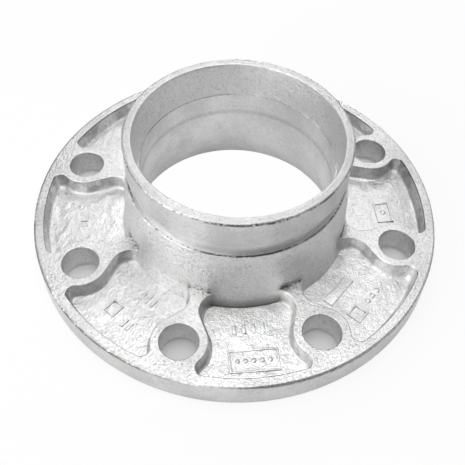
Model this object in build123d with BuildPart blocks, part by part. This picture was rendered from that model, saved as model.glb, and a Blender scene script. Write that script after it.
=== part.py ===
from build123d import *
import os
from math import acos, asin, cos, degrees, radians, sin

# Grooved flange adaptor: one iron casting, coated all over with zinc.
# The origin is the centre of the mating face, and +Z runs along the bore to the grooved pipe end.
# Lengths are in millimetres and angles in degrees.

# Bolt holes
bolt_count = 8
bolt_circle_diameter = 180.0
bolt_hole_diameter = 19.0
bolt_hole_edge_radius = 0.6

# Flange, measured out and in from the bolt holes
rim_thickness = 14.0
bolt_circle_to_rim = 20.0
rim_draft_angle = 2.0
rim_edge_radius = 1.2
raised_face_height = 3.0
raised_face_to_holes = 2.5

# Grooved pipe end
overall_height = 70.0
pipe_diameter = 114.3
pipe_end_wall = 4.55
gasket_seat_length = 15.88
groove_width = 8.74
groove_depth = 2.11
pipe_outer_edge_radius = 1.0
pipe_inner_edge_radius = 0.5

# Hub, from the groove's lower shoulder down into the flange: how far it stands out past the pipe
shoulder_margin = 0.25
hub_margin_at_flange = 3.25
hub_margin_at_foot = 6.88
hub_bulge_depth = 0.8

# Bore: an upper core and a lower core that meet at a small step, a straight throat and a flare
core_joint_depth = 19.0
core_step_width = 0.25
throat_wall = 6.85
throat_length = 12.4
mouth_margin = 0.15

# Pockets cast into the top of the flange, one between each two bolt holes
pocket_depth = 8.5
pocket_draft_angle = 8.0
rim_land_width = 5.7
boss_wall = 4.4
web_width = 6.2
root_share = 0.6
pocket_corner_radius = 4.2
pocket_foot_radius = 2.0
pocket_lip_radius = 0.6
hub_overlap_depth = 1.0

# Heights that follow from these
flange_top = raised_face_height + rim_thickness
pocket_floor = flange_top - pocket_depth
seat_bottom = overall_height - gasket_seat_length
groove_bottom = seat_bottom - groove_width
core_joint = overall_height - core_joint_depth
throat_bottom = core_joint - throat_length

# Radii that follow from these, from the pipe end outwards
pipe_radius = pipe_diameter / 2
pipe_bore_radius = pipe_radius - pipe_end_wall
throat_radius = pipe_radius - throat_wall
mouth_radius = pipe_radius + mouth_margin
groove_radius = pipe_radius - groove_depth
shoulder_radius = pipe_radius + shoulder_margin
hub_radius = pipe_radius + hub_margin_at_flange
foot_radius = pipe_radius + hub_margin_at_foot
bolt_circle_radius = bolt_circle_diameter / 2
bolt_hole_radius = bolt_hole_diameter / 2
boss_radius = bolt_hole_radius + boss_wall
raised_face_radius = bolt_circle_radius - bolt_hole_radius - raised_face_to_holes
flange_radius = bolt_circle_radius + bolt_circle_to_rim
pocket_outer_radius = flange_radius - rim_land_width
pocket_inner_radius = hub_radius - hub_overlap_depth

# The root of a pocket takes this share of the room between the hub and the boss
pocket_root_radius = root_share * (bolt_circle_radius - boss_radius - pocket_inner_radius)

# The pockets lie midway between the bolt holes, which stand this far either side of the axes
half_pitch = 180 / bolt_count


def on_circle(radius, angle):
    """Point at a radius and an angle from +X."""
    return Vector(radius * cos(radians(angle)), radius * sin(radians(angle)))


def angle_opposite(side, a, b):
    """Angle between sides a and b of a triangle, opposite its third side."""
    return degrees(acos((a**2 + b**2 - side**2) / (2 * a * b)))


def bearing(start, end):
    """Direction from one point to another, measured from +X."""
    return Vector(1, 0).get_signed_angle(end - start, Vector(0, 0, 1))


# Half of a pocket's outline, above its middle line: the rim arc turns at the corner onto the boss,
# leaves it by the straight flank of the web, and turns at the root into the hub.
boss_centre = on_circle(bolt_circle_radius, half_pitch)
corner_distance = pocket_outer_radius - pocket_corner_radius
corner_to_boss_length = boss_radius + pocket_corner_radius
corner_angle = half_pitch - angle_opposite(corner_to_boss_length, corner_distance, bolt_circle_radius)
corner_centre = on_circle(corner_distance, corner_angle)
corner_to_boss = bearing(corner_centre, boss_centre)

root_distance = pocket_inner_radius + pocket_root_radius
root_angle = half_pitch - degrees(asin((web_width / 2 + pocket_root_radius) / root_distance))
root_centre = on_circle(root_distance, root_angle)
boss_to_root_length = (root_centre - boss_centre).length
flank_lean = degrees(acos((boss_radius + pocket_root_radius) / boss_to_root_length))

boss_start = corner_to_boss - 180
boss_end = bearing(boss_centre, root_centre) + flank_lean
root_start = boss_end + 180
root_end = root_angle + 180

with BuildSketch() as pocket_outline:
    with BuildLine():
        CenterArc((0, 0), pocket_outer_radius, 0, corner_angle)
        CenterArc(corner_centre, pocket_corner_radius, corner_angle, corner_to_boss - corner_angle)
        boss_arc = CenterArc(boss_centre, boss_radius, boss_start, boss_end - boss_start)
        root_arc = CenterArc(root_centre, pocket_root_radius, root_start, root_end - root_start)
        Line(boss_arc @ 1, root_arc @ 0)
        CenterArc((0, 0), pocket_inner_radius, 0, root_angle)
        mirror(about=Plane.XZ)
    make_face()

with BuildPart() as casting:
    # Flange plate with its drafted rim
    with BuildSketch(Plane.XY.offset(raised_face_height)):
        Circle(flange_radius)
    extrude(amount=rim_thickness, taper=rim_draft_angle)
    fillet(casting.edges().group_by(Axis.Z)[-1], radius=rim_edge_radius)

    # Pockets, rounded at the foot and at the lip of their walls
    with BuildSketch(Plane.XY.offset(flange_top)):
        with PolarLocations(0, bolt_count):
            add(pocket_outline.sketch)
    extrude(amount=-pocket_depth, taper=pocket_draft_angle, mode=Mode.SUBTRACT)
    fillet(casting.edges(Select.LAST).group_by(Axis.Z)[0], radius=pocket_foot_radius)
    lips = casting.faces().filter_by(Plane.XY).sort_by(Axis.Z)[-1].inner_wires()
    fillet(lips.edges(), radius=pocket_lip_radius)

    # Raised mating face
    with BuildSketch():
        Circle(raised_face_radius)
    extrude(amount=raised_face_height)

    # Hub, coupling groove and gasket seat
    with BuildSketch(Plane.XZ):
        with BuildLine():
            foot = Polyline(
                (0, raised_face_height),
                (foot_radius, raised_face_height),
                (hub_radius, flange_top),
            )
            flank = SagittaArc(foot @ 1, (shoulder_radius, groove_bottom), -hub_bulge_depth)
            Polyline(
                flank @ 1,
                (groove_radius, groove_bottom),
                (groove_radius, seat_bottom),
                (pipe_radius, seat_bottom),
                (pipe_radius, overall_height),
                (0, overall_height),
                foot @ 0,
            )
        make_face()
    revolve(axis=Axis.Z)

    # Bore, widest at the mating face
    with BuildSketch(Plane.XZ):
        with BuildLine():
            flare = TangentArc(
                (throat_radius, throat_bottom),
                (mouth_radius, 0),
                tangent=(0, -1),
            )
            Polyline(
                flare @ 0,
                (throat_radius, core_joint),
                (throat_radius + core_step_width, core_joint),
                (pipe_bore_radius, overall_height),
                (0, overall_height),
                (0, 0),
                flare @ 1,
            )
        make_face()
    revolve(axis=Axis.Z, mode=Mode.SUBTRACT)
    fillet(casting.edges().group_by(Axis.Z)[-1].sort_by(SortBy.RADIUS)[-1], radius=pipe_outer_edge_radius)
    fillet(casting.edges().group_by(Axis.Z)[-1].sort_by(SortBy.RADIUS)[0], radius=pipe_inner_edge_radius)

    # Bolt holes through the bosses
    with Locations(Plane.XY.offset(flange_top)):
        with PolarLocations(bolt_circle_radius, bolt_count, start_angle=half_pitch):
            Hole(bolt_hole_radius)
    fillet(casting.edges(Select.LAST).group_by(Axis.Z)[-1], radius=bolt_hole_edge_radius)

casting.part.label = "adaptor_casting"
os.makedirs("parts", exist_ok=True)
export_step(casting.part, "parts/adaptor_casting.step")
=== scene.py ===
import math

import bmesh
import bpy
from mathutils import Matrix, Quaternion, Vector, noise


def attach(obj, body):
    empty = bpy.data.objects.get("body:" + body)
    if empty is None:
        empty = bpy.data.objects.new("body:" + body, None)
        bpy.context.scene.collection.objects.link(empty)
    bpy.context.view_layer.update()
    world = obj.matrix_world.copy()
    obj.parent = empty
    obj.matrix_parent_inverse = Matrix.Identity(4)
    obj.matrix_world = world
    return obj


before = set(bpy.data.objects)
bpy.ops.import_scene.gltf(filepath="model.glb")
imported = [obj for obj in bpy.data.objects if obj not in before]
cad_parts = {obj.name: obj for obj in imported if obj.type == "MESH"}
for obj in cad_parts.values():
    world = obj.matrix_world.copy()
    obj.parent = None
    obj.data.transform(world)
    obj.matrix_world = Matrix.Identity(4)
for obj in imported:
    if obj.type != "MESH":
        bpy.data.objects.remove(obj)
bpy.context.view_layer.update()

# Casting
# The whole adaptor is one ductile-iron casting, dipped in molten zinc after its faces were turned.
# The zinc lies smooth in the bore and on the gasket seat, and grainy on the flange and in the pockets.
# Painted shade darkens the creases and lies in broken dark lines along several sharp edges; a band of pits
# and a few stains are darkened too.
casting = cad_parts["adaptor_casting"]
bolt_circle_radius = 0.090
pitch = math.pi / 4


def feed(tree, socket, value):
    """Gives a socket its value: a number, a colour, or what another socket puts out."""
    if isinstance(value, bpy.types.NodeSocket):
        tree.links.new(value, socket)
    else:
        socket.default_value = value


def add_math(tree, operation, first, second=0.0, third=0.0):
    """Math node whose inputs are sockets or numbers, and its output socket."""
    node = tree.nodes.new("ShaderNodeMath")
    node.operation = operation
    for socket, value in zip(node.inputs, (first, second, third)):
        feed(tree, socket, value)
    return node.outputs[0]


def add_product(tree, first, *others):
    """Product of sockets and numbers."""
    for other in others:
        first = add_math(tree, "MULTIPLY", first, other)
    return first


def add_rest(tree, share):
    """What a share leaves of one."""
    return add_math(tree, "SUBTRACT", 1.0, share)


def add_distance(tree, along, across):
    """Distance of a point that lies this far along and this far across."""
    squared = add_math(tree, "MULTIPLY", across, across)
    return add_math(tree, "SQRT", add_math(tree, "MULTIPLY_ADD", along, along, squared))


def add_ramp(tree, value, low, high):
    """Rises smoothly from 0 at low to 1 at high, and the other way round where high is the lesser."""
    node = tree.nodes.new("ShaderNodeMapRange")
    node.interpolation_type = "SMOOTHSTEP"
    feed(tree, node.inputs["Value"], value)
    feed(tree, node.inputs["From Min"], low)
    feed(tree, node.inputs["From Max"], high)
    return node.outputs["Result"]


def add_fall(tree, value, low, high):
    """Falls smoothly from 1 to 0 between two values."""
    return add_rest(tree, add_ramp(tree, value, low, high))


def add_level(tree, share, first, second, kind="FLOAT"):
    """Goes from one amount to another by a share."""
    node = tree.nodes.new("ShaderNodeMix")
    node.data_type = kind
    feed(tree, node.inputs["Factor"], share)
    feed(tree, node.inputs["A"], first)
    feed(tree, node.inputs["B"], second)
    return node.outputs["Result"]


def add_blend(tree, share, first, second):
    """Goes from one colour to another by a share."""
    return add_level(tree, share, first, second, kind="RGBA")


def add_noise(tree, place, cells, detail, roughness, distortion=0.0):
    """Noise with so many cells to the metre."""
    node = tree.nodes.new("ShaderNodeTexNoise")
    node.inputs["Scale"].default_value = cells
    node.inputs["Detail"].default_value = detail
    node.inputs["Roughness"].default_value = roughness
    node.inputs["Distortion"].default_value = distortion
    tree.links.new(place, node.inputs["Vector"])
    return node.outputs["Fac"]


def start_group(name, amounts, outputs):
    """Node group that reads a place and some amounts, with its input node and its output node."""
    group = bpy.data.node_groups.new(name, "ShaderNodeTree")
    group.interface.new_socket("Place", in_out="INPUT", socket_type="NodeSocketVector")
    for amount in amounts:
        group.interface.new_socket(amount, in_out="INPUT", socket_type="NodeSocketFloat")
    for output, kind in outputs:
        group.interface.new_socket(output, in_out="OUTPUT", socket_type=kind)
    return group, group.nodes.new("NodeGroupInput"), group.nodes.new("NodeGroupOutput")


def add_group(tree, group, place, **amounts):
    """A node group set into a material, with its own amounts."""
    node = tree.nodes.new("ShaderNodeGroup")
    node.node_tree = group
    tree.links.new(place, node.inputs["Place"])
    for name, amount in amounts.items():
        feed(tree, node.inputs[name.capitalize()], amount)
    return node


def make_zinc_skin():
    """Colour, roughness and height of the zinc, from its grain, lumps, clouds and pits."""
    group, start, end = start_group(
        "zinc_skin",
        ("Grain", "Lumps", "Speckle", "Satin"),
        (("Color", "NodeSocketColor"), ("Roughness", "NodeSocketFloat"), ("Height", "NodeSocketFloat")),
    )
    place = start.outputs["Place"]
    fine = add_noise(group, place, cells=1600, detail=2.0, roughness=0.6)
    leather = add_noise(group, place, cells=760, detail=2.0, roughness=0.55, distortion=0.4)
    lump = add_noise(group, place, cells=200, detail=3.0, roughness=0.5, distortion=0.8)
    cloud = add_noise(group, place, cells=40, detail=4.0, roughness=0.6)

    fine_height = 0.7
    relief = add_math(group, "MULTIPLY_ADD", fine, fine_height, leather)
    relief = add_product(group, relief, start.outputs["Grain"])
    relief = add_math(group, "MULTIPLY_ADD", lump, start.outputs["Lumps"], relief)
    group.links.new(relief, end.inputs["Height"])

    clouded = (0.71, 0.714, 0.71, 1)
    clear = (0.86, 0.864, 0.86, 1)
    pitted = (0.26, 0.26, 0.26, 1)
    leather_share = 0.35
    patch = add_product(group, cloud, 1 - leather_share)
    patch = add_math(group, "MULTIPLY_ADD", leather, leather_share, patch)
    clean = add_blend(group, add_ramp(group, patch, low=0.38, high=0.60), clouded, clear)
    pits = add_product(group, add_fall(group, leather, low=0.33, high=0.47), start.outputs["Speckle"])
    group.links.new(add_blend(group, pits, clean, pitted), end.inputs["Color"])

    cloud_shine = -0.25
    fine_dullness = 0.15
    satin = add_math(group, "MULTIPLY_ADD", cloud, cloud_shine, start.outputs["Satin"])
    satin = add_math(group, "MULTIPLY_ADD", fine, fine_dullness, satin)
    group.links.new(satin, end.inputs["Roughness"])
    return group


def make_edge_shade_and_dirt():
    """Mask of a broken dark line round the adaptor, at a radius and a level: painted shade along an edge,
    or pits or a stain.
    """
    group, start, end = start_group(
        "edge_shade_and_dirt",
        ("Radius", "Level", "Reach", "Breaks", "Strength"),
        (("Mask", "NodeSocketFloat"),),
    )
    place = start.outputs["Place"]
    parts = group.nodes.new("ShaderNodeSeparateXYZ")
    group.links.new(place, parts.inputs[0])
    outward = add_distance(group, parts.outputs["Y"], parts.outputs["X"])
    aside = add_math(group, "SUBTRACT", outward, start.outputs["Radius"])
    above = add_math(group, "SUBTRACT", parts.outputs["Z"], start.outputs["Level"])
    near = add_fall(group, add_distance(group, above, aside), 0.0, start.outputs["Reach"])

    short_share = 0.55
    softness = 0.05
    short = add_noise(group, place, cells=600, detail=3.0, roughness=0.7)
    long = add_noise(group, place, cells=60, detail=2.0, roughness=0.5)
    broken = add_math(group, "MULTIPLY_ADD", short, short_share, add_product(group, long, 1 - short_share))
    low = add_math(group, "SUBTRACT", start.outputs["Breaks"], softness)
    high = add_math(group, "ADD", start.outputs["Breaks"], softness)
    line = add_product(group, near, add_ramp(group, broken, low, high), start.outputs["Strength"])
    group.links.new(line, end.inputs["Mask"])
    return group


def make_painted_crease_shade():
    """Mask of painted shade in the creases, where the walls of a corner shade each other."""
    group, start, end = start_group("painted_crease_shade", ("Reach", "Strength"), (("Mask", "NodeSocketFloat"),))
    shade = group.nodes.new("ShaderNodeAmbientOcclusion")
    shade.samples = 16
    group.links.new(start.outputs["Reach"], shade.inputs["Distance"])
    closed = add_fall(group, shade.outputs["AO"], low=0.45, high=0.80)
    patchy = add_noise(group, start.outputs["Place"], cells=420, detail=3.0, roughness=0.6)
    least_crease_shade = 0.3
    patchy = add_level(group, add_ramp(group, patchy, low=0.34, high=0.60), least_crease_shade, 1.0)
    group.links.new(add_product(group, closed, patchy, start.outputs["Strength"]), end.inputs["Mask"])
    return group


zinc_skin = make_zinc_skin()
edge_shade_and_dirt = make_edge_shade_and_dirt()
painted_crease_shade = make_painted_crease_shade()
# Near-black brown for painted shade in creases and under edges, and for pits and stains.
shade_and_dirt = (0.11, 0.095, 0.085, 1)
skin_depth = 0.00025


def make_zinc(name, crease_reach, crease_strength):
    """Zinc with painted shade in its creases: the material, and the parts of it that a section may go on
    from.
    """
    material = bpy.data.materials.new(name)
    material.use_nodes = True
    tree = material.node_tree
    surface = tree.nodes["Principled BSDF"]
    surface.inputs["Metallic"].default_value = 1.0
    place = tree.nodes.new("ShaderNodeTexCoord").outputs["Object"]
    skin = add_group(tree, zinc_skin, place, grain=1.10, lumps=0.5, speckle=0.12, satin=0.43)
    crease = add_group(tree, painted_crease_shade, place, reach=crease_reach, strength=crease_strength)
    colour = add_blend(tree, crease.outputs["Mask"], skin.outputs["Color"], shade_and_dirt)
    relief = tree.nodes.new("ShaderNodeBump")
    relief.inputs["Strength"].default_value = 1.0
    relief.inputs["Distance"].default_value = skin_depth
    tree.links.new(colour, surface.inputs["Base Color"])
    tree.links.new(skin.outputs["Roughness"], surface.inputs["Roughness"])
    tree.links.new(skin.outputs["Height"], relief.inputs["Height"])
    tree.links.new(relief.outputs["Normal"], surface.inputs["Normal"])
    return material, place, skin, crease, colour


crease_strength = 0.75
cast_zinc, place, skin, crease, colour = make_zinc("hot_dip_zinc", 0.0014, crease_strength)
tree = cast_zinc.node_tree
parts = tree.nodes.new("ShaderNodeSeparateXYZ")
tree.links.new(place, parts.inputs[0])
rightness = parts.outputs["X"]
frontness = add_math(tree, "MULTIPLY", parts.outputs["Y"], -1.0)
height = parts.outputs["Z"]
outward = add_distance(tree, parts.outputs["Y"], parts.outputs["X"])

# Zones by height and by distance from the axis. A border of two values is soft, from none to all.
# The flange begins past the hub's leaning foot. What is nearer the axis than a wall is in the bore.
underside_level = 0.0031
flange_top = 0.0170
flare_top = 0.0420
hub_top = 0.0452
groove_middle = 0.0498
groove_half_width = 0.0042
core_foot = 0.0510
seat_border = (0.0538, 0.0542)
end_border = (0.0692, 0.0698)
wall_middle = 0.0538
flare_wall_middle = 0.0577
foot_lean = 0.26
foot_border = (0.0650, 0.0656)
rim_border = (0.1083, 0.1092)
in_flare = add_math(tree, "LESS_THAN", height, flare_top)
bore_limit = add_level(tree, in_flare, wall_middle, flare_wall_middle)
in_bore = add_math(tree, "LESS_THAN", outward, bore_limit)
outside = add_rest(tree, in_bore)
in_core = add_math(tree, "GREATER_THAN", height, core_foot)
on_end = add_ramp(tree, height, *end_border)
on_seat = add_product(tree, add_ramp(tree, height, *seat_border), outside)
from_groove = add_math(tree, "ABSOLUTE", add_math(tree, "SUBTRACT", height, groove_middle))
in_groove = add_product(tree, add_math(tree, "LESS_THAN", from_groove, groove_half_width), outside)
on_hub = add_math(tree, "LESS_THAN", height, hub_top)
foot_height = add_math(tree, "MINIMUM", height, flange_top)
past_foot = add_math(tree, "MULTIPLY_ADD", foot_height, foot_lean, outward)
on_flange = add_ramp(tree, past_foot, *foot_border)
on_rim = add_ramp(tree, outward, *rim_border)
underneath = add_math(tree, "LESS_THAN", height, underside_level)

# Sides of the adaptor, by how far to the right or to the front a point lies; they place grain and much of
# the painted light and shade.
left_side = add_ramp(tree, rightness, low=-0.0160, high=-0.0200)
far_left = add_ramp(tree, rightness, low=-0.0300, high=-0.0600)
right_side = add_ramp(tree, rightness, low=0.0000, high=0.0350)
front_half = add_ramp(tree, frontness, low=-0.0150, high=0.0200)
near_front = add_ramp(tree, frontness, low=0.0500, high=0.0540)
at_front = add_ramp(tree, frontness, low=0.0540, high=0.0590)

# Bolt holes and the webs behind them, on a slice of one pitch that repeats round the axis
hole_border = (0.0096, 0.0101)
web_border = (0.0045, 0.0082)
least_at_back = 0.25
turned = add_math(tree, "ARCTAN2", parts.outputs["Y"], parts.outputs["X"])
step = add_math(tree, "FRACT", add_math(tree, "DIVIDE", turned, pitch))
slant = add_product(tree, add_math(tree, "SUBTRACT", step, 0.5), pitch)
across_web = add_product(tree, outward, add_math(tree, "SINE", slant))
past_circle = add_math(tree, "MULTIPLY_ADD", outward, add_math(tree, "COSINE", slant), -bolt_circle_radius)
in_hole = add_fall(tree, add_distance(tree, past_circle, across_web), *hole_border)
on_web = add_fall(tree, add_math(tree, "ABSOLUTE", across_web), *web_border)
# The painted shade at the web corners is strongest at the front and fades to a quarter at the back.
toward_front = add_ramp(tree, frontness, low=-0.0100, high=0.0300)
on_web = add_product(tree, on_web, add_level(tree, toward_front, least_at_back, 1.0))

# Upright walls of the flange, and all faces that aren't level: a level face has a levelness of one
wall_border = (0.0625, 0.0650)
facing = tree.nodes.new("ShaderNodeSeparateXYZ")
tree.links.new(tree.nodes.new("ShaderNodeNewGeometry").outputs["Normal"], facing.inputs[0])
levelness = add_math(tree, "ABSOLUTE", facing.outputs["Z"])
past_hub = add_ramp(tree, outward, *wall_border)
upright = add_product(tree, add_fall(tree, levelness, low=0.20, high=0.75), past_hub)
sloped = add_fall(tree, levelness, low=0.90, high=0.99)

# How much of each effect the zinc skin has in each zone
for effect, seat, hub, left_hub, flange, rim, core, throat, end, base in (
    ("Grain", 0.40, 1.25, 2.40, 1.15, 0.50, 1.70, 0.25, 1.10, 0.40),
    ("Lumps", 0.30, 0.50, 0.60, 0.32, 0.40, 0.60, 0.20, 0.50, 0.30),
    ("Speckle", 0.06, 0.12, 0.26, 0.30, 0.08, 0.26, 0.05, 0.30, 0.08),
    ("Satin", 0.43, 0.44, 0.42, 0.45, 0.44, 0.38, 0.43, 0.44, 0.44),
):
    amount = add_level(tree, on_hub, seat, add_level(tree, left_side, hub, left_hub))
    amount = add_level(tree, on_flange, amount, add_level(tree, on_rim, flange, rim))
    amount = add_level(tree, underneath, amount, base)
    amount = add_level(tree, in_bore, amount, add_level(tree, in_core, throat, core))
    tree.links.new(add_level(tree, on_end, amount, end), skin.inputs[effect])
tree.links.new(add_product(tree, on_flange, crease_strength), crease.inputs["Strength"])

# Painted light on the left front of the groove and in the upper bore, painted shade on the right front of
# the seat and in the bolt holes, zinc worn grey on the pipe end, and upright walls darkened partly by
# stains and partly by painted shade. A share says how far the zinc in a place goes over to such a tint.
painted_light_white = (0.97, 0.97, 0.97, 1)
worn_zinc_and_shade = (0.45, 0.45, 0.45, 1)
painted_hole_shade = (0.34, 0.34, 0.34, 1)
wall_stain_and_shade = (0.20, 0.20, 0.20, 1)
groove_highlight_share = 0.45
core_light_share = 0.30
end_share = 0.45
seat_shade_share = 0.32
hole_shade_share = 0.32
streak_share = 0.10
patch_share = 0.42
rim_side_share = 0.22
hole_wall_share = 0.06
# Upright walls and the rim side darken by streaks and patches: partly stains, partly painted shade for the
# dark surroundings they face.
streak = add_noise(tree, place, cells=220, detail=3.0, roughness=0.6, distortion=1.2)
streak = add_product(tree, add_ramp(tree, streak, low=0.40, high=0.60), streak_share)
patch = add_noise(tree, place, cells=70, detail=2.0, roughness=0.5)
patch = add_product(tree, add_ramp(tree, patch, low=0.48, high=0.57), patch_share)
stained_and_shaded = add_level(tree, on_rim, add_math(tree, "ADD", streak, patch), rim_side_share)
stained_and_shaded = add_product(tree, upright, add_level(tree, in_hole, stained_and_shaded, hole_wall_share))
for share, tint in (
    # painted highlight on the groove's left front, and painted light in the upper bore
    (add_product(tree, in_groove, add_rest(tree, right_side), front_half, groove_highlight_share), painted_light_white),
    (add_product(tree, in_bore, in_core, core_light_share), painted_light_white),
    (add_product(tree, on_end, end_share), worn_zinc_and_shade),
    # painted shade on the seat's right front
    (add_product(tree, on_seat, right_side, front_half, seat_shade_share), worn_zinc_and_shade),
    # painted shade in the bolt holes
    (add_product(tree, in_hole, hole_shade_share), painted_hole_shade),
    # stains and painted shade on the upright walls
    (stained_and_shaded, wall_stain_and_shade),
):
    colour = add_blend(tree, share, colour, tint)

# Dark broken lines. Most are painted shade: under the pipe end's outer edge, along the shoulder, at the
# step in the bore and the foot of the throat, along the rim's top edge, at the hub's foot in the front
# pocket and in the band above it, at the corners of the hub and the webs, and under the pocket lips; some
# are drawn again heavier at the front or at the left. The others are a band of pits below the shoulder and
# a stain above each web corner. For each: where it may show, its radius and level, how far it reaches, how
# much of it is broken away, and how strong it is
everywhere = 1.0
for limit, radius, level, reach, breaks, strength in (
    (everywhere, 0.05700, 0.06930, 0.00080, 0.51, 0.90),  # outer edge of the pipe end
    (everywhere, 0.05655, 0.04538, 0.00070, 0.50, 0.85),  # shoulder below the groove
    (everywhere, 0.05040, 0.05100, 0.00045, 0.50, 0.40),  # step in the bore
    (everywhere, 0.05030, 0.03860, 0.00250, 0.36, 0.22),  # foot of the straight throat
    (everywhere, 0.10930, 0.01670, 0.00090, 0.53, 0.60),  # top edge of the rim
    (far_left, 0.10935, 0.01650, 0.00160, 0.42, 0.95),  # the same edge, heavier
    (near_front, 0.05700, 0.06930, 0.00100, 0.46, 1.00),  # pipe end again, heavier
    (near_front, 0.05655, 0.04538, 0.00085, 0.46, 1.00),  # shoulder again, heavier
    (at_front, 0.06260, 0.00920, 0.00130, 0.45, 0.85),  # foot of the hub in the front pocket
    # painted shade in a band above that foot
    (at_front, 0.06220, 0.01000, 0.00650, 0.20, 0.66),  # stain above that foot
    (at_front, 0.05900, 0.04000, 0.00300, 0.58, 0.60),  # pits below the shoulder
    (on_web, 0.06045, 0.01720, 0.00110, 0.43, 0.95),  # corner of the hub and a web
    (on_web, 0.06030, 0.01850, 0.00450, 0.44, 0.78),  # stain above that corner
    (sloped, 0.10400, 0.01665, 0.00095, 0.36, 0.85),  # lip of a pocket under the rim
):
    line = add_group(
        tree, edge_shade_and_dirt, place, radius=radius, level=level, reach=reach, breaks=breaks, strength=strength
    )
    colour = add_blend(tree, add_product(tree, line.outputs["Mask"], limit), colour, shade_and_dirt)
tree.links.new(colour, tree.nodes["Principled BSDF"].inputs["Base Color"])
casting.data.materials.clear()
casting.data.materials.append(cast_zinc)

# Pocket floors
# The floors of the eight pockets were never machined: the zinc froze on them in lumps and ripples.
# One thin lumpy sheet of metal lies on all the floors, and its edges run into the webs and bosses.
pocket_floor = 0.0085
sheet_rise = 0.00022
sheet_root = 0.0015
sheet_inner_radius = 0.0600
sheet_outer_radius = 0.1058
boss_cut_radius = 0.0118
sheet_half_width = 0.1062
cell_width = 0.0009
swell_height = 0.00015
swells_to_the_metre = 170
ripple_height = 0.00007
more_ripple_at_left = 0.00009
ripples_to_the_metre = 330
ripple_shift = Vector((7, 3, 1))
left_edge, left_fade = 0.045, 0.03
boss_centres = [
    Vector((math.cos(angle), math.sin(angle), 0)) * bolt_circle_radius
    for angle in (pitch * (number + 0.5) for number in range(8))
]


def outside_sheet(face):
    """Whether a cell lies over the bore, past the pockets or on a boss."""
    middle = face.calc_center_median()
    if not sheet_inner_radius < middle.length < sheet_outer_radius:
        return True
    return any((middle - centre).length < boss_cut_radius for centre in boss_centres)


def make_piece(name, shape, material):
    """Object made from a bmesh with smooth faces. It stands at the origin, with its place in its mesh."""
    for face in shape.faces:
        face.smooth = True
    mesh = bpy.data.meshes.new(name)
    shape.to_mesh(mesh)
    shape.free()
    mesh.materials.append(material)
    piece = bpy.data.objects.new(name, mesh)
    bpy.context.scene.collection.objects.link(piece)
    return piece


floor_sheet = bmesh.new()
cells = round(2 * sheet_half_width / cell_width)
bmesh.ops.create_grid(floor_sheet, x_segments=cells, y_segments=cells, size=sheet_half_width)
waste = [face for face in floor_sheet.faces if outside_sheet(face)]
bmesh.ops.delete(floor_sheet, geom=waste, context="FACES")
for vertex in floor_sheet.verts:
    swell = noise.fractal(vertex.co * swells_to_the_metre, 1.0, 2.0, 3) * swell_height
    ripple = noise.noise(vertex.co * ripples_to_the_metre + ripple_shift)
    at_left = min(max((-vertex.co.x - left_edge) / left_fade, 0), 1)
    ripple *= ripple_height + more_ripple_at_left * at_left
    vertex.co.z = pocket_floor + sheet_rise + swell + ripple
outline = [edge for edge in floor_sheet.edges if edge.is_boundary]
skirt = bmesh.ops.extrude_edge_only(floor_sheet, edges=outline)["geom"]
for vertex in [item for item in skirt if isinstance(item, bmesh.types.BMVert)]:
    vertex.co.z = pocket_floor - sheet_root
skirt_foot = [item for item in skirt if isinstance(item, bmesh.types.BMEdge)]
bmesh.ops.triangle_fill(floor_sheet, edges=skirt_foot, use_beauty=True)
bmesh.ops.recalc_face_normals(floor_sheet, faces=floor_sheet.faces)
pocket_zinc = make_zinc("pocket_zinc", crease_reach=0.0015, crease_strength=0.8)[0]
floor_zinc = make_piece("pocket_floor_zinc", floor_sheet, pocket_zinc)
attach(floor_zinc, "root")

# Raised cast marks
# Plain bars, pips and frames stand under a millimetre high on the pocket floors.
# They were cut into the mould, so they are the same metal, and zinc has rounded their edges.
marks = bmesh.new()
mark_height = 0.0009
mark_root = 0.0004
mark_edge_radius = 0.00025
pip_rise = 0.0001


def on_pocket(pocket, out, across, level):
    """Place on a pocket's floor: its number round the flange, millimetres out and across, and a level."""
    turn = Matrix.Rotation(pocket * pitch, 4, "Z")
    return turn @ Matrix.Translation((out / 1000, across / 1000, level))


def add_bar(pocket, out, across, depth, width):
    """Flat bar with rounded top edges, its sizes in millimetres."""
    foot = pocket_floor - mark_root
    size = Matrix.Diagonal((depth / 1000, width / 1000, mark_height + mark_root, 1))
    spot = on_pocket(pocket, out, across, foot + size[2][2] / 2)
    bar = bmesh.ops.create_cube(marks, size=1, matrix=spot @ size)["verts"]
    edges = {edge for vertex in bar for edge in vertex.link_edges}
    top = [edge for edge in edges if all(end.co.z > foot + mark_height / 2 for end in edge.verts)]
    bmesh.ops.bevel(
        marks, geom=top, offset=mark_edge_radius, segments=3, profile=0.5, affect="EDGES", material=-1
    )


def add_pip(pocket, out, across, radius):
    """Low round dot, its radius in millimetres."""
    size = Matrix.Diagonal((radius / 1000, radius / 1000, mark_height, 1))
    spot = on_pocket(pocket, out, across, pocket_floor + pip_rise)
    bmesh.ops.create_uvsphere(marks, u_segments=16, v_segments=8, radius=1, matrix=spot @ size)


def add_frame(pocket, out, across, depth, width, stroke):
    """Four bars round an empty field."""
    add_bar(pocket, out - depth / 2, across, stroke, width + stroke)
    add_bar(pocket, out + depth / 2, across, stroke, width + stroke)
    add_bar(pocket, out, across - width / 2, depth, stroke)
    add_bar(pocket, out, across + width / 2, depth, stroke)


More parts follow.
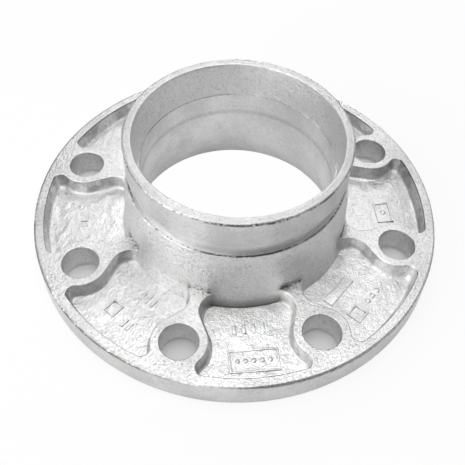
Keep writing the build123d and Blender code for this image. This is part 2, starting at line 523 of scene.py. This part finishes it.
front, front_right, right, left, front_left = -2, -1, 0, 4, -3
add_frame(front, 91.8, 0.9, 11.0, 23.6, 1.0)
for number in range(5):
    add_pip(front, 91.8, 0.9 + (number - 2) * 4.0, 1.3)
for number in range(4):
    add_bar(front, 74.6, -7.2 + number * 4.8, 5.0, 1.6)
add_bar(front_right, 74.0, -5.0, 5.4, 20.0)
add_frame(front_right, 89.0, -10.0, 7.0, 7.0, 1.0)
for number in range(3):
    add_pip(front_right, 89.0, number * 4.2, 1.5)
add_frame(right, 84.0, -6.0, 8.0, 13.0, 1.0)
add_pip(right, 84.0, -6.0, 1.6)
add_bar(left, 84.0, 4.0, 4.0, 1.4)
add_bar(left, 84.0, 0.5, 4.0, 1.4)
add_pip(left, 86.0, -9.0, 1.8)
for number in range(3):
    add_bar(front_left, 73.0, number * 3.6, 5.0, 1.4)
add_frame(front_left, 88.0, -6.0, 7.0, 6.0, 0.8)
add_bar(front_left, 90.5, 4.0, 5.0, 1.4)
add_bar(front_left, 90.5, 7.5, 5.0, 1.4)
cast_marks = make_piece("cast_marks", marks, pocket_zinc)
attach(cast_marks, "root")

# Zinc beads
# Where the zinc ran off sharp edges it froze in thin uneven beads.
# They follow the pipe end's outer edge and the shoulder below the groove.
beads = bmesh.new()
unevenness = 1.4
thinnest = 0.15
long_waves_to_the_metre = 160
short_waves_to_the_metre = 700


def add_bead_ring(radius, level, thickness, seed):
    """Thin ring of metal whose thickness comes and goes, so that it breaks up along the edge."""
    turn = Matrix.Rotation(math.pi / 2, 4, "X")
    spot = Matrix.Translation((radius, 0, level))
    wire = bmesh.new()
    ring = bmesh.ops.create_circle(wire, segments=6, radius=thickness, matrix=spot @ turn)["verts"]
    bmesh.ops.spin(
        wire,
        geom=ring + wire.edges[:],
        cent=(0, 0, 0),
        axis=(0, 0, 1),
        angle=2 * math.pi,
        steps=720,
        use_merge=True,
    )
    shift = Vector((seed * 3.1, seed * 1.7, seed))
    for vertex in wire.verts:
        away = Vector((vertex.co.x, vertex.co.y, 0)).normalized()
        core = away * radius + Vector((0, 0, level))
        short = noise.noise(core * short_waves_to_the_metre + shift)
        long = noise.noise(core * long_waves_to_the_metre + shift)
        swell = 1 + unevenness * short + unevenness * long
        vertex.co = core + (vertex.co - core) * max(swell, thinnest)
    bmesh.ops.recalc_face_normals(wire, faces=wire.faces)
    loop = bpy.data.meshes.new("bead_loop")
    wire.to_mesh(loop)
    wire.free()
    beads.from_mesh(loop)
    bpy.data.meshes.remove(loop)


add_bead_ring(0.05692, 0.06905, 0.00030, seed=1)
add_bead_ring(0.05725, 0.04535, 0.00025, seed=2)
zinc_beads = make_piece("zinc_beads", beads, cast_zinc)
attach(zinc_beads, "root")

# Floor
# A wide table top of matt white paper under the adaptor, which catches its shadow.
# Seen straight it is mostly plain white. Under the flange it is shaded paper, as the holes show, and under
# the bore it glows nearly full white, painted light over the bore's shadow.
table = bmesh.new()
table_half_width = 4
bmesh.ops.create_grid(table, x_segments=1, y_segments=1, size=table_half_width)
paper = bpy.data.materials.new("white_paper")
paper.use_nodes = True
tree = paper.node_tree
matt = tree.nodes["Principled BSDF"]
matt.inputs["Base Color"].default_value = (0.9, 0.9, 0.9, 1)
matt.inputs["Roughness"].default_value = 0.9
matt.inputs["Specular IOR Level"].default_value = 0.0
glow = tree.nodes.new("ShaderNodeEmission")
blend = tree.nodes.new("ShaderNodeMixShader")
path = tree.nodes.new("ShaderNodeLightPath")
from_middle = tree.nodes.new("ShaderNodeVectorMath")
from_middle.operation = "LENGTH"
tree.links.new(tree.nodes.new("ShaderNodeTexCoord").outputs["Object"], from_middle.inputs[0])
bore_shade_radius, flange_shade_radius = 0.060, 0.109
open_white, shaded_white, bore_painted_white, mirrored_white = 0.88, 0.08, 0.98, 0.2
under_bore = add_math(tree, "LESS_THAN", from_middle.outputs["Value"], bore_shade_radius)
under_flange = add_math(tree, "LESS_THAN", from_middle.outputs["Value"], flange_shade_radius)
white = add_level(tree, under_flange, open_white, shaded_white)
white = add_level(tree, under_bore, white, bore_painted_white)
mirrored = add_product(tree, path.outputs["Is Glossy Ray"], mirrored_white)
white = add_math(tree, "MULTIPLY_ADD", path.outputs["Is Camera Ray"], white, mirrored)
tree.links.new(white, blend.inputs["Fac"])
tree.links.new(matt.outputs[0], blend.inputs[1])
tree.links.new(glow.outputs[0], blend.inputs[2])
tree.links.new(blend.outputs[0], tree.nodes["Material Output"].inputs["Surface"])
table_top = make_piece("table_top", table, paper)

# Light
# A dim white tent with seven square soft boxes in it: one overhead and one behind, three at the left
# down to table height, and two weaker ones at the right. The camera sees the tent as plain white.
world = bpy.data.worlds.new("studio")
bpy.context.scene.world = world
world.use_nodes = True
tree = world.node_tree
tent = tree.nodes["Background"]
tent.inputs["Color"].default_value = (1, 1, 1, 1)
tent_glow = 0.15
seen = tree.nodes.new("ShaderNodeLightPath").outputs["Is Camera Ray"]
tree.links.new(add_level(tree, seen, tent_glow, 1.0), tent.inputs["Strength"])
adaptor_middle = Vector((0, 0, 0.02))


def add_soft_box(name, spot, width, watts):
    """Square lamp at a spot, turned to shine at the adaptor."""
    lamp = bpy.data.lights.new(name, "AREA")
    lamp.size = width
    lamp.energy = watts
    box = bpy.data.objects.new(name, lamp)
    box.location = spot
    box.rotation_euler = (adaptor_middle - Vector(spot)).to_track_quat("-Z", "Y").to_euler()
    bpy.context.scene.collection.objects.link(box)


add_soft_box("overhead_box", (0.0, 0.0, 1.0), 0.6, 4.3)
add_soft_box("back_box", (0.05, 0.78, 0.75), 0.4, 2.1)
add_soft_box("left_box", (-0.95, 0.0, 0.45), 1.0, 4.6)
add_soft_box("left_front_box", (-0.65, -0.65, 0.4), 0.9, 4.6)
add_soft_box("low_left_box", (-0.8, -0.65, 0.12), 0.6, 1.7)
add_soft_box("right_box", (0.95, 0.0, 0.45), 0.9, 0.8)
add_soft_box("right_back_box", (0.65, 0.65, 0.45), 0.5, 0.9)

# Camera
# It stands above the front of the flange and looks down at the middle of the adaptor.
# It is rolled slightly, as the tilt of the rim in the picture shows.
image_width = 465
focal_length_in_pixels = 639.1
camera_data = bpy.data.cameras.new("camera")
camera_data.sensor_width = 36
camera_data.lens = camera_data.sensor_width * focal_length_in_pixels / image_width
camera = bpy.data.objects.new("camera", camera_data)
camera.location = (-0.02857, -0.22569, 0.28949)
aim_point = Vector((-0.00096, 0.00012, -0.01064))
roll = 0.0429
level_view = (aim_point - camera.location).to_track_quat("-Z", "Y")
camera.rotation_euler = (level_view @ Quaternion((0, 0, 1), roll)).to_euler()
bpy.context.scene.collection.objects.link(camera)
bpy.context.scene.camera = camera
bpy.context.scene.view_settings.view_transform = "Standard"
